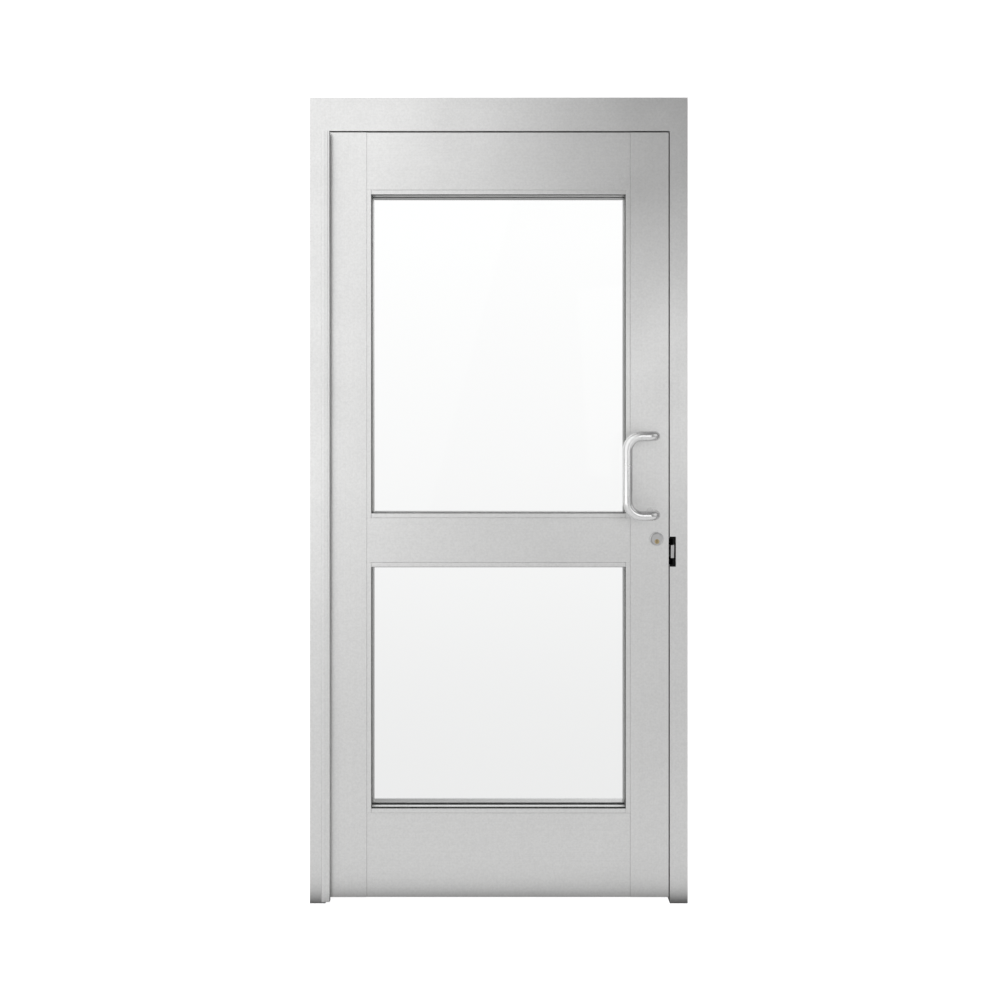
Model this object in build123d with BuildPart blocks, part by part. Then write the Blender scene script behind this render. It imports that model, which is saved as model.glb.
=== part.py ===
from build123d import *
import os
from math import cos, radians, sin

# Security door: a narrow aluminium frame, a glazed leaf, a geared hinge and an electric strike.
# Millimetres. X runs from the hinge side to the lock side, +Y away from the pull side, Z up.
# The origin is at the bottom centre of everything that is modelled, door pull included.

# Frame
FRAME_DEPTH = 114.3
FRAME_HEIGHT = 2140.0
HINGE_JAMB_WIDTH = 41.3
STRIKE_JAMB_WIDTH = 47.6
CLEAR_WIDTH = 914.4
HEADER_HEIGHT = 88.9
FILLER_WIDTH = 13.0
TUBE_WALL = 3.2

# Door pull
PULL_DIAMETER = 25.4
PULL_PROJECTION = 76.2
PULL_LENGTH = 203.2
PULL_OFFSET = 76.0
PULL_CORNER_R = 37.0
PULL_POST_R = 25.0
PULL_HEIGHT = 1140.7
PULL_BACKSET = 46.85
PULL_BOLT_R = 4.0
PULL_HEAD_R = 8.0
PULL_HEAD_HEIGHT = 3.5
PULL_BOLT_GRIP = 18.0

# Leaf
LEAF_DEPTH = 44.45
LOCK_GAP = 3.2
HEAD_GAP = 4.0
FLOOR_GAP = 17.0
STILE_WIDTH = 101.6
TOP_RAIL_HEIGHT = 152.4
MIDDLE_RAIL_HEIGHT = 118.2
MIDDLE_RAIL_BOTTOM = 905.6
BOTTOM_RAIL_HEIGHT = 223.0

# Glazing
GLASS_THICKNESS = 6.35
GASKET_THICKNESS = 3.2
GASKET_SETBACK = 0.8
BEAD_WIDTH = 12.0
BEAD_WALL = 1.6
GLASS_EDGE_GAP = 4.0
SETTING_BLOCK_LENGTH = 100.0

# Tie rods
TIE_ROD_R = 4.75
TIE_NUT_ACROSS_FLATS = 14.3
TIE_NUT_HEIGHT = 7.9
TIE_ROD_END = 12.0

# Stops and seals of the frame
STOP_HEIGHT = 15.9
STOP_DEPTH = 44.45
STOP_WALL = 2.0
STOP_FACE_WALL = 5.5
SEAL_SPACE = 3.5
SEAL_GROOVE_WIDTH = 4.0
SEAL_GROOVE_DEPTH = 3.5
SEAL_LAND = 2.0
SOFT_GAP = 0.3

# Geared hinge
GEAR_PITCH_R = 4.0
GEAR_TIP_R = 4.45
GEAR_ROOT_R = 3.42
GEAR_BODY_R = 4.4
GEAR_STEP = 30.0
FRAME_TEETH = 5
DOOR_TEETH = 4
GEAR_START_ANGLE = 46.0
GEAR_RUNOUT_ANGLE = 16.0
GEAR_WRAP_ANGLE = -150.0
TOOTH_ROOT_HALF = 9.6
TOOTH_PITCH_HALF = 6.9
TOOTH_TIP_HALF = 3.6
BEAD_PIN_R = 1.8
PIN_CLEARANCE = 0.1
CAP_INNER_R = 5.0
CAP_OUTER_R = 7.0
CAP_CLEARANCE = 0.3
CAP_HOOK_ANGLE = 155.0
CAP_WEB = 1.4
CAP_GROOVE_WIDTH = 3.0
CAP_GROOVE_DEPTH = 0.9
LEAF_PLATE = 3.0
LEAF_PLATE_DEPTH = 38.0
HINGE_BOTTOM = 15.0
HINGE_TOP_GAP = 6.0
BEARING_HEIGHT = 12.0
BEARING_COUNT = 4
BEARING_END_MARGIN = 160.0
RUNNING_GAP = 0.1

# Screws
SCREW_R = 2.4
SCREW_HEAD_R = 4.6
SCREW_LENGTH = 12.0
SCREW_CLEARANCE = 0.05
HINGE_SCREW_COUNT = 4
HINGE_SCREW_END_MARGIN = 70.0
PAN_HEAD_HEIGHT = 3.0

# Anchors to the wall
ANCHOR_HOLE_R = 5.5
ANCHOR_ACCESS_R = 9.0
ANCHOR_OUTER_SPACING = 1700.0
ANCHOR_INNER_SPACING = 600.0
ANCHOR_MIDDLE = 1020.0

# Header clips
CLIP_LENGTH = 60.0
CLIP_THICKNESS = 5.0
CLIP_FIT = 0.3

# Lock
LOCK_HEIGHT = 968.0
LOCK_BACKSET = 32.0
LATCH_DROP = 32.4
CYLINDER_R = 14.6
CYLINDER_CLEARANCE = 0.05
CYLINDER_PROUD = 4.5
COLLAR_R = 17.8
COLLAR_HEIGHT = 4.0
PLUG_R = 6.35
PLUG_DROP = 6.0
PLUG_CLEARANCE = 0.05
KEYWAY_WIDTH = 1.4
KEYWAY_HEIGHT = 8.5
KEYWAY_DEPTH = 8.0
CAM_REACH = 12.0
CAM_R = 5.0
CAM_THICKNESS = 3.0
CAM_POCKET_R = 13.0
CASE_DEPTH = 45.0
CASE_WIDTH = 25.4
CASE_HEIGHT = 150.0
CASE_DROP = 21.2
FACEPLATE_LENGTH = 174.6
FACEPLATE_THICKNESS = 3.2
FACEPLATE_SCREW_SPACING = 138.0
LATCH_HEIGHT = 15.9
LATCH_WIDTH = 12.7
LATCH_LENGTH = 38.0
LATCH_CLEARANCE = 0.3
TURN_LENGTH = 30.0
TURN_WIDTH = 9.0
TURN_REACH = 24.0

# Electric strike
NOTCH_WIDTH = 16.1
NOTCH_HEIGHT = 80.0
STRIKE_LENGTH = 123.8
STRIKE_WIDTH = 31.75
STRIKE_PLATE = 2.0
STRIKE_FIT = 0.2
HOUSING_DEPTH = 32.0
HOUSING_SETBACK = 0.5
HOUSING_WALL = 1.6
POCKET_HEIGHT = 70.0
KEEPER_WIDTH = 6.0
KEEPER_HEIGHT = 33.8
KEEPER_INSET = 3.25
KEEPER_KNUCKLE_R = 2.6
KEEPER_PIN_R = 1.2
KEEPER_PIN_CLEARANCE = 0.05
KEEPER_BEHIND_FACE = 5.05
KEEPER_KNUCKLE_OVERLAP = 0.3
KEEPER_LATCH_GAP = 0.8
POCKET_LATCH_GAP = 2.5
STRIKE_DROP = 1.5
STRIKE_SCREW_SPACING = 104.0
RIB_GAP = 1.0
EAR_THICKNESS = 5.0

# Places that follow from the sizes above
FACE_Y = -(FRAME_DEPTH - PULL_PROJECTION) / 2
FRAME_WIDTH = HINGE_JAMB_WIDTH + CLEAR_WIDTH + STRIKE_JAMB_WIDTH
LEFT_X = -FRAME_WIDTH / 2
RIGHT_X = FRAME_WIDTH / 2
OPENING_LEFT = LEFT_X + HINGE_JAMB_WIDTH
OPENING_RIGHT = RIGHT_X - STRIKE_JAMB_WIDTH
HEADER_BOTTOM = FRAME_HEIGHT - HEADER_HEIGHT
HINGE_GAP = 2 * GEAR_PITCH_R
LEAF_LEFT = OPENING_LEFT + HINGE_GAP
LEAF_RIGHT = OPENING_RIGHT - LOCK_GAP
LEAF_TOP = HEADER_BOTTOM - HEAD_GAP
LEAF_BACK = FACE_Y + LEAF_DEPTH
LEAF_MID_Y = FACE_Y + LEAF_DEPTH / 2
RAIL_LEFT = LEAF_LEFT + STILE_WIDTH
RAIL_RIGHT = LEAF_RIGHT - STILE_WIDTH
RAIL_LENGTH = RAIL_RIGHT - RAIL_LEFT
TOP_RAIL_BOTTOM = LEAF_TOP - TOP_RAIL_HEIGHT
MIDDLE_RAIL_TOP = MIDDLE_RAIL_BOTTOM + MIDDLE_RAIL_HEIGHT
BOTTOM_RAIL_TOP = FLOOR_GAP + BOTTOM_RAIL_HEIGHT
STOP_FACE_Y = LEAF_BACK + SEAL_SPACE
STOP_MID_Y = STOP_FACE_Y + STOP_DEPTH / 2
GEAR_Y = FACE_Y - CAP_OUTER_R - CAP_CLEARANCE
HINGE_TOP = HEADER_BOTTOM - HINGE_TOP_GAP
HINGE_LENGTH = HINGE_TOP - HINGE_BOTTOM
HINGE_SCREW_Y = FACE_Y + LEAF_PLATE_DEPTH / 2
LOCK_X = LEAF_RIGHT - LOCK_BACKSET
LATCH_Z = LOCK_HEIGHT - LATCH_DROP
PLUG_Z = LOCK_HEIGHT - PLUG_DROP
CASE_MID_Z = LOCK_HEIGHT - CASE_DROP
CASE_FRONT_X = LEAF_RIGHT - FACEPLATE_THICKNESS
PULL_X = LEAF_RIGHT - PULL_BACKSET
GRIP_X = PULL_X - PULL_OFFSET
GRIP_Y = FACE_Y - PULL_PROJECTION + PULL_DIAMETER / 2
STRIKE_Z = LATCH_Z - STRIKE_DROP
KEEPER_BACK_X = OPENING_RIGHT + KEEPER_INSET + KEEPER_WIDTH
PIN_X = KEEPER_BACK_X + KEEPER_KNUCKLE_R - KEEPER_KNUCKLE_OVERLAP
PIN_Y = FACE_Y + KEEPER_BEHIND_FACE

parts = {}


def screw(head_r, length, shank_r=SCREW_R, flat=True, head_height=PAN_HEAD_HEIGHT):
    """A screw on +Z: a flat head ends at z = 0, a pan head stands on z = 0, the shank goes down."""
    cone = head_r - shank_r
    with BuildPart() as piece:
        with BuildSketch(Plane.XZ):
            with BuildLine():
                if flat:
                    Polyline((0, 0), (head_r, 0), (shank_r, -cone), (shank_r, -length), (0, -length))
                else:
                    Polyline(
                        (0, head_height),
                        (head_r, head_height),
                        (head_r, 0),
                        (shank_r, 0),
                        (shank_r, -length),
                        (0, -length),
                    )
                Line((0, -length), (0, 0 if flat else head_height))
            make_face()
        revolve(axis=Axis.Z)
    return piece.part


def screw_row(flat=True):
    """The common screw, and the same shape with clearance for the hole that takes it."""
    fastener = screw(SCREW_HEAD_R, SCREW_LENGTH, flat=flat)
    hole = screw(
        SCREW_HEAD_R + SCREW_CLEARANCE,
        2 * SCREW_LENGTH,
        SCREW_R + SCREW_CLEARANCE,
        flat=flat,
    )
    return fastener, hole


def spread(first, last, count):
    """Evenly spaced values from first to last."""
    return [first + (last - first) * i / (count - 1) for i in range(count)]


def tube_sketch(width, depth, wall=TUBE_WALL):
    """The section of a rectangular tube, as a sketch in the builder that is open."""
    Rectangle(width, depth)
    Rectangle(width - 2 * wall, depth - 2 * wall, mode=Mode.SUBTRACT)


flat_screw, flat_hole = screw_row()
pan_screw, pan_hole = screw_row(flat=False)

hinge_screw_zs = spread(
    HINGE_BOTTOM + HINGE_SCREW_END_MARGIN, HINGE_TOP - HINGE_SCREW_END_MARGIN, HINGE_SCREW_COUNT
)
bearing_zs = spread(
    HINGE_BOTTOM + BEARING_END_MARGIN, HINGE_TOP - BEARING_END_MARGIN, BEARING_COUNT
)
anchor_zs = [
    ANCHOR_MIDDLE - ANCHOR_OUTER_SPACING / 2,
    ANCHOR_MIDDLE - ANCHOR_INNER_SPACING / 2,
    ANCHOR_MIDDLE + ANCHOR_INNER_SPACING / 2,
    ANCHOR_MIDDLE + ANCHOR_OUTER_SPACING / 2,
]
clip_screw_y = FACE_Y + FRAME_DEPTH / 2
clip_screw_z = FRAME_HEIGHT - HEADER_HEIGHT / 2
header_screw_xs = [
    OPENING_LEFT + FILLER_WIDTH + CLIP_LENGTH / 3,
    OPENING_RIGHT - CLIP_LENGTH / 2,
]

frame_screw_places = [
    Location((OPENING_LEFT + LEAF_PLATE, HINGE_SCREW_Y, z), (0, 90, 0)) for z in hinge_screw_zs
]
door_screw_places = [
    Location((LEAF_LEFT - LEAF_PLATE, HINGE_SCREW_Y, z), (0, -90, 0)) for z in hinge_screw_zs
]
hinge_clip_screw_place = Location(
    (OPENING_LEFT + CLIP_THICKNESS, clip_screw_y, clip_screw_z), (0, 90, 0)
)
strike_clip_screw_place = Location(
    (OPENING_RIGHT - CLIP_THICKNESS, clip_screw_y, clip_screw_z), (0, -90, 0)
)
header_screw_places = [
    Location((x, STOP_MID_Y, HEADER_BOTTOM), (180, 0, 0)) for x in header_screw_xs
]


def jamb(left, width, wall_side, screw_place):
    """A full-height tube with wall anchor holes through it and a hole for the clip's screw."""
    centre_x = left + width / 2
    outer_x = left if wall_side < 0 else left + width
    inner_x = left + width if wall_side < 0 else left
    with BuildPart() as piece:
        with BuildSketch(Plane.XY):
            with Locations((centre_x, FACE_Y + FRAME_DEPTH / 2)):
                tube_sketch(width, FRAME_DEPTH)
        extrude(amount=FRAME_HEIGHT)
        for z in anchor_zs:
            for x, radius in ((outer_x, ANCHOR_HOLE_R), (inner_x, ANCHOR_ACCESS_R)):
                with Locations(Location((x, STOP_MID_Y, z), (0, 90, 0))):
                    Cylinder(radius, 3 * TUBE_WALL, mode=Mode.SUBTRACT)
        with Locations(screw_place):
            add(pan_hole, mode=Mode.SUBTRACT)
    return piece


# Frame: the hinge jamb, with holes for the hinge screws
hinge_jamb = jamb(LEFT_X, HINGE_JAMB_WIDTH, -1, hinge_clip_screw_place)
with hinge_jamb:
    with Locations(*frame_screw_places):
        add(flat_hole, mode=Mode.SUBTRACT)
parts["hinge_jamb"] = hinge_jamb

# Frame: the strike jamb, cut away for the strike at its front corner and inner face
strike_jamb = jamb(OPENING_RIGHT, STRIKE_JAMB_WIDTH, 1, strike_clip_screw_place)
with strike_jamb:
    with Locations((OPENING_RIGHT, FACE_Y, STRIKE_Z)):
        Box(
            NOTCH_WIDTH,
            TUBE_WALL,
            NOTCH_HEIGHT,
            align=(Align.MIN, Align.MIN, Align.CENTER),
            mode=Mode.SUBTRACT,
        )
        Box(
            TUBE_WALL,
            LEAF_DEPTH / 2,
            NOTCH_HEIGHT,
            align=(Align.MIN, Align.MIN, Align.CENTER),
            mode=Mode.SUBTRACT,
        )
    with Locations((OPENING_RIGHT, LEAF_MID_Y, STRIKE_Z)):
        Box(
            TUBE_WALL,
            STRIKE_WIDTH,
            STRIKE_LENGTH,
            align=(Align.MIN, Align.CENTER, Align.CENTER),
            mode=Mode.SUBTRACT,
        )
parts["strike_jamb"] = strike_jamb

# Frame: the header tube between the jambs, and the short filler over the hinge
with BuildPart() as header:
    with BuildSketch(Plane.YZ.offset(OPENING_LEFT + FILLER_WIDTH)):
        with Locations((FACE_Y + FRAME_DEPTH / 2, FRAME_HEIGHT - HEADER_HEIGHT / 2)):
            tube_sketch(FRAME_DEPTH, HEADER_HEIGHT)
    extrude(amount=CLEAR_WIDTH - FILLER_WIDTH)
    with Locations(*header_screw_places):
        add(pan_hole, mode=Mode.SUBTRACT)
parts["header"] = header

with BuildPart() as header_filler:
    with BuildSketch(Plane.YZ.offset(OPENING_LEFT)):
        with Locations((FACE_Y + FRAME_DEPTH / 2, FRAME_HEIGHT - HEADER_HEIGHT / 2)):
            tube_sketch(FRAME_DEPTH, HEADER_HEIGHT)
    extrude(amount=FILLER_WIDTH)
parts["header_filler"] = header_filler

# Frame: the channel clips inside the header's ends, screwed to the jambs
clip_depth = FRAME_DEPTH - 2 * TUBE_WALL - 2 * CLIP_FIT
clip_height = HEADER_HEIGHT - 2 * TUBE_WALL - 2 * CLIP_FIT
with BuildPart() as header_clips:
    for side in (1, -1):
        length = CLIP_LENGTH if side < 0 else CLIP_LENGTH + FILLER_WIDTH
        back_x = OPENING_LEFT if side > 0 else OPENING_RIGHT
        with Locations((back_x + side * length / 2, FACE_Y + FRAME_DEPTH / 2, clip_screw_z)):
            Box(length, clip_depth, clip_height)
        with Locations(
            (
                back_x + side * (CLIP_THICKNESS + length / 2),
                FACE_Y + FRAME_DEPTH / 2,
                clip_screw_z,
            )
        ):
            Box(length, clip_depth, clip_height - 2 * CLIP_THICKNESS, mode=Mode.SUBTRACT)
    with Locations(hinge_clip_screw_place, strike_clip_screw_place, *header_screw_places):
        add(pan_hole, mode=Mode.SUBTRACT)
parts["header_clips"] = header_clips

with BuildPart() as header_clip_screws:
    with Locations(hinge_clip_screw_place, strike_clip_screw_place):
        add(pan_screw)
parts["header_clip_screws"] = header_clip_screws

with BuildPart() as header_screws:
    with Locations(*header_screw_places):
        add(pan_screw)
parts["header_screws"] = header_screws


def stop_section(width):
    """A door stop on the XY plane: its back on X = 0, its sealing face on Y = 0, its nose at +X."""
    Rectangle(width, STOP_DEPTH, align=Align.MIN)
    with Locations((0, STOP_FACE_WALL)):
        Rectangle(
            width - STOP_WALL,
            STOP_DEPTH - STOP_FACE_WALL - STOP_WALL,
            align=Align.MIN,
            mode=Mode.SUBTRACT,
        )
    with Locations((width - SEAL_LAND - SEAL_GROOVE_WIDTH, 0)):
        Rectangle(SEAL_GROOVE_WIDTH, SEAL_GROOVE_DEPTH, align=Align.MIN, mode=Mode.SUBTRACT)


def seal_section(width):
    """A bulb seal in the groove of the stop section above, a little short of the leaf."""
    centre = width - SEAL_LAND - SEAL_GROOVE_WIDTH / 2
    reach = SEAL_SPACE - SOFT_GAP
    with Locations((centre, 0)):
        Rectangle(SEAL_GROOVE_WIDTH - 0.2, SEAL_GROOVE_DEPTH - 0.1, align=(Align.CENTER, Align.MIN))
        Rectangle(SEAL_GROOVE_WIDTH, reach / 2, align=(Align.CENTER, Align.MAX))
        with Locations((0, -reach / 2)):
            Circle(reach / 2)


hinge_stop_plane = Plane((OPENING_LEFT, STOP_FACE_Y, 0), x_dir=(1, 0, 0), z_dir=(0, 0, 1))
strike_stop_plane = Plane((OPENING_RIGHT, STOP_FACE_Y, 0), x_dir=(-1, 0, 0), z_dir=(0, 0, -1))
header_stop_plane = Plane(
    (OPENING_LEFT + STOP_HEIGHT, STOP_FACE_Y, HEADER_BOTTOM), x_dir=(0, 0, -1), z_dir=(1, 0, 0)
)

# Frame: the clip-in stops behind the leaf, and the bulb seals in their grooves
with BuildPart() as hinge_jamb_stop:
    with BuildSketch(hinge_stop_plane):
        stop_section(STOP_HEIGHT)
    extrude(amount=HEADER_BOTTOM)
parts["hinge_jamb_stop"] = hinge_jamb_stop

with BuildPart() as strike_jamb_stop:
    with BuildSketch(strike_stop_plane):
        stop_section(STOP_HEIGHT)
    extrude(amount=-HEADER_BOTTOM)
parts["strike_jamb_stop"] = strike_jamb_stop

with BuildPart() as header_stop:
    with BuildSketch(header_stop_plane):
        stop_section(STOP_HEIGHT)
    extrude(amount=CLEAR_WIDTH - 2 * STOP_HEIGHT)
parts["header_stop"] = header_stop

with BuildPart() as jamb_seals:
    with BuildSketch(hinge_stop_plane):
        seal_section(STOP_HEIGHT)
    extrude(amount=HEADER_BOTTOM)
    with BuildSketch(strike_stop_plane):
        seal_section(STOP_HEIGHT)
    extrude(amount=-HEADER_BOTTOM)
parts["jamb_seals"] = jamb_seals

with BuildPart() as header_seal:
    with BuildSketch(header_stop_plane):
        seal_section(STOP_HEIGHT)
    extrude(amount=CLEAR_WIDTH - 2 * STOP_HEIGHT)
parts["header_seal"] = header_seal


# Geared hinge: two toothed leaves that roll on each other inside a wrapped cap
def polar(radius, angle):
    return (radius * cos(radians(angle)), radius * sin(radians(angle)))


def gear_leaf_sketch(teeth):
    """One hinge leaf about its own centre: plate on +Y, teeth towards +X, smooth body behind."""
    last = teeth[-1] - GEAR_RUNOUT_ANGLE
    with BuildLine() as outline:
        corners = [polar(GEAR_BODY_R, GEAR_START_ANGLE)]
        for tooth in teeth:
            flank = (
                (GEAR_ROOT_R, TOOTH_ROOT_HALF),
                (GEAR_PITCH_R, TOOTH_PITCH_HALF),
                (GEAR_TIP_R, TOOTH_TIP_HALF),
            )
            corners += [polar(radius, tooth + half) for radius, half in flank]
            corners += [polar(radius, tooth - half) for radius, half in reversed(flank)]
        corners.append(polar(GEAR_BODY_R, last))
        CenterArc((0, 0), GEAR_BODY_R, 90, GEAR_START_ANGLE - 90)
        Polyline(*corners)
        CenterArc((0, 0), GEAR_BODY_R, last, GEAR_WRAP_ANGLE - last)
        Polyline(polar(GEAR_BODY_R, GEAR_WRAP_ANGLE), (0, 0), (0, GEAR_BODY_R))
    make_face(outline.edges())
    Rectangle(LEAF_PLATE, FACE_Y + LEAF_PLATE_DEPTH - GEAR_Y, align=Align.MIN)
    Circle(BEAD_PIN_R + PIN_CLEARANCE, mode=Mode.SUBTRACT)


def bearing_notches(centre_x):
    """Cut the teeth away where a thrust bearing sits between the two leaves."""
    for z in bearing_zs:
        with Locations((centre_x, GEAR_Y, z)):
            Box(
                4 * GEAR_TIP_R,
                2 * CAP_INNER_R + 2 * RUNNING_GAP,
                BEARING_HEIGHT + 2 * RUNNING_GAP,
                mode=Mode.SUBTRACT,
            )


frame_gear_plane = Plane((OPENING_LEFT, GEAR_Y, HINGE_BOTTOM), x_dir=(1, 0, 0), z_dir=(0, 0, 1))
door_gear_plane = Plane((LEAF_LEFT, GEAR_Y, HINGE_BOTTOM), x_dir=(-1, 0, 0), z_dir=(0, 0, -1))

with BuildPart() as hinge_frame_leaf:
    with BuildSketch(frame_gear_plane):
        gear_leaf_sketch([GEAR_STEP * (1 - i) for i in range(FRAME_TEETH)])
    extrude(amount=HINGE_LENGTH)
    bearing_notches(OPENING_LEFT)
    with Locations(*frame_screw_places):
        add(flat_hole, mode=Mode.SUBTRACT)
parts["hinge_frame_leaf"] = hinge_frame_leaf

with BuildPart() as hinge_door_leaf:
    with BuildSketch(door_gear_plane):
        gear_leaf_sketch([GEAR_STEP * (0.5 - i) for i in range(DOOR_TEETH)])
    extrude(amount=-HINGE_LENGTH)
    bearing_notches(LEAF_LEFT)
    with Locations(*door_screw_places):
        add(flat_hole, mode=Mode.SUBTRACT)
parts["hinge_door_leaf"] = hinge_door_leaf

with BuildPart() as frame_leaf_screws:
    with Locations(*frame_screw_places):
        add(flat_screw)
parts["frame_leaf_screws"] = frame_leaf_screws

with BuildPart() as door_leaf_screws:
    with Locations(*door_screw_places):
        add(flat_screw)
parts["door_leaf_screws"] = door_leaf_screws

with BuildPart() as hinge_cap:
    with BuildSketch(frame_gear_plane):
        hook = CAP_HOOK_ANGLE
        mirrored = 180 - hook
        inner, outer = CAP_INNER_R, CAP_OUTER_R
        far_x = HINGE_GAP
        with BuildLine():
            CenterArc((0, 0), outer, hook, 270 - hook)
            Line((0, -outer), (far_x, -outer))
            CenterArc((far_x, 0), outer, 270, 90 + mirrored)
            Line(
                (far_x + outer * cos(radians(mirrored)), outer * sin(radians(mirrored))),
                (far_x + inner * cos(radians(mirrored)), inner * sin(radians(mirrored))),
            )
            CenterArc((far_x, 0), inner, 270, 90 + mirrored)
            Line((far_x, -inner), (0, -inner))
            CenterArc((0, 0), inner, hook, 270 - hook)
            Line(polar(inner, hook), polar(outer, hook))
        make_face()
        for x, side in ((0, -1), (far_x, 1)):
            with Locations((x, 0)):
                Circle(BEAD_PIN_R)
            with Locations((x + side * (inner + 0.5) / 2, 0)):
                Rectangle(inner + 0.5, CAP_WEB)
        with Locations((far_x / 2, -outer)):
            Rectangle(CAP_GROOVE_WIDTH, 2 * CAP_GROOVE_DEPTH, mode=Mode.SUBTRACT)
    extrude(amount=HINGE_LENGTH)
parts["hinge_cap"] = hinge_cap

with BuildPart() as hinge_bearings:
    for z in bearing_zs:
        with Locations(((OPENING_LEFT + LEAF_LEFT) / 2, GEAR_Y, z)):
            Box(
                HINGE_GAP - 2 * BEAD_PIN_R - 6 * RUNNING_GAP,
                2 * CAP_INNER_R - 2 * RUNNING_GAP,
                BEARING_HEIGHT,
            )
parts["hinge_bearings"] = hinge_bearings

# Leaf: tie rods through the rails, with nuts inside the stiles
tie_rod_zs = [
    LEAF_TOP - TOP_RAIL_HEIGHT / 2,
    MIDDLE_RAIL_BOTTOM + MIDDLE_RAIL_HEIGHT / 2,
    FLOOR_GAP + 0.75 * BOTTOM_RAIL_HEIGHT,
    FLOOR_GAP + 0.25 * BOTTOM_RAIL_HEIGHT,
]
rod_left = RAIL_LEFT - TUBE_WALL - TIE_ROD_END
rod_right = RAIL_RIGHT + TUBE_WALL + TIE_ROD_END


def stile(left):
    """A full-height stile tube with holes in the wall that the tie rods pass through."""
    rail_side = left + STILE_WIDTH if left == LEAF_LEFT else left
    with BuildPart() as piece:
        with BuildSketch(Plane.XY.offset(FLOOR_GAP)):
            with Locations((left + STILE_WIDTH / 2, LEAF_MID_Y)):
                tube_sketch(STILE_WIDTH, LEAF_DEPTH)
        extrude(amount=LEAF_TOP - FLOOR_GAP)
        for z in tie_rod_zs:
            with Locations(Location((rail_side, LEAF_MID_Y, z), (0, 90, 0))):
                Cylinder(TIE_ROD_R + SCREW_CLEARANCE, 3 * TUBE_WALL, mode=Mode.SUBTRACT)
    return piece


hinge_stile = stile(LEAF_LEFT)
with hinge_stile:
    with Locations(*door_screw_places):
        add(flat_hole, mode=Mode.SUBTRACT)
parts["hinge_stile"] = hinge_stile

pull_zs = [PULL_HEIGHT - PULL_LENGTH / 2, PULL_HEIGHT + PULL_LENGTH / 2]
lock_stile = stile(RAIL_RIGHT)
with lock_stile:
    with Locations(Location((LOCK_X, LEAF_MID_Y, LOCK_HEIGHT), (90, 0, 0))):
        Cylinder(CYLINDER_R + 2 * CYLINDER_CLEARANCE, 2 * LEAF_DEPTH, mode=Mode.SUBTRACT)
    for z in pull_zs:
        with Locations(Location((PULL_X, LEAF_MID_Y, z), (90, 0, 0))):
            Cylinder(PULL_BOLT_R + SCREW_CLEARANCE, 2 * LEAF_DEPTH, mode=Mode.SUBTRACT)
    with Locations((LEAF_RIGHT, LEAF_MID_Y, CASE_MID_Z)):
        Box(
            2 * TUBE_WALL,
            CASE_WIDTH + 2 * RUNNING_GAP,
            FACEPLATE_LENGTH + 2 * RUNNING_GAP,
            mode=Mode.SUBTRACT,
        )
parts["lock_stile"] = lock_stile


def rail(bottom, height):
    """A rail tube that butts between the two stiles."""
    with BuildPart() as piece:
        with BuildSketch(Plane.YZ.offset(RAIL_LEFT)):
            with Locations((LEAF_MID_Y, bottom + height / 2)):
                tube_sketch(LEAF_DEPTH, height)
        extrude(amount=RAIL_LENGTH)
    return piece


# Leaf: the three rails
parts["top_rail"] = rail(TOP_RAIL_BOTTOM, TOP_RAIL_HEIGHT)
parts["middle_rail"] = rail(MIDDLE_RAIL_BOTTOM, MIDDLE_RAIL_HEIGHT)
parts["bottom_rail"] = rail(FLOOR_GAP, BOTTOM_RAIL_HEIGHT)

with BuildPart() as tie_rods:
    for z in tie_rod_zs:
        with Locations(Location(((rod_left + rod_right) / 2, LEAF_MID_Y, z), (0, 90, 0))):
            Cylinder(TIE_ROD_R, rod_right - rod_left)
parts["tie_rods"] = tie_rods

with BuildPart() as tie_rod_nuts:
    for x in (RAIL_LEFT - TUBE_WALL - TIE_NUT_HEIGHT, RAIL_RIGHT + TUBE_WALL):
        with BuildSketch(Plane.YZ.offset(x)):
            with Locations(*[(LEAF_MID_Y, z) for z in tie_rod_zs]):
                RegularPolygon(TIE_NUT_ACROSS_FLATS / 2, 6, major_radius=False)
                Circle(TIE_ROD_R + SCREW_CLEARANCE, mode=Mode.SUBTRACT)
        extrude(amount=TIE_NUT_HEIGHT)
parts["tie_rod_nuts"] = tie_rod_nuts

# Glazing: each lite has glass on setting blocks, gaskets on both faces, and beads around it
lites = {
    "upper": (MIDDLE_RAIL_TOP, TOP_RAIL_BOTTOM),
    "lower": (BOTTOM_RAIL_TOP, MIDDLE_RAIL_BOTTOM),
}
lite_mid_x = (RAIL_LEFT + RAIL_RIGHT) / 2
glass_front = LEAF_MID_Y - GLASS_THICKNESS / 2
glass_back = LEAF_MID_Y + GLASS_THICKNESS / 2
bead_depth = glass_front - GASKET_THICKNESS - FACE_Y
gasket_outer_inset = 2 * GLASS_EDGE_GAP - GASKET_SETBACK


def bead_section(width, depth):
    """A channel bead on the YZ or XY plane: its open side on X = 0 and its nose at +X."""
    Rectangle(width, depth, align=(Align.MIN, Align.CENTER))
    Rectangle(
        width - BEAD_WALL, depth - 2 * BEAD_WALL, align=(Align.MIN, Align.CENTER), mode=Mode.SUBTRACT
    )


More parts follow.
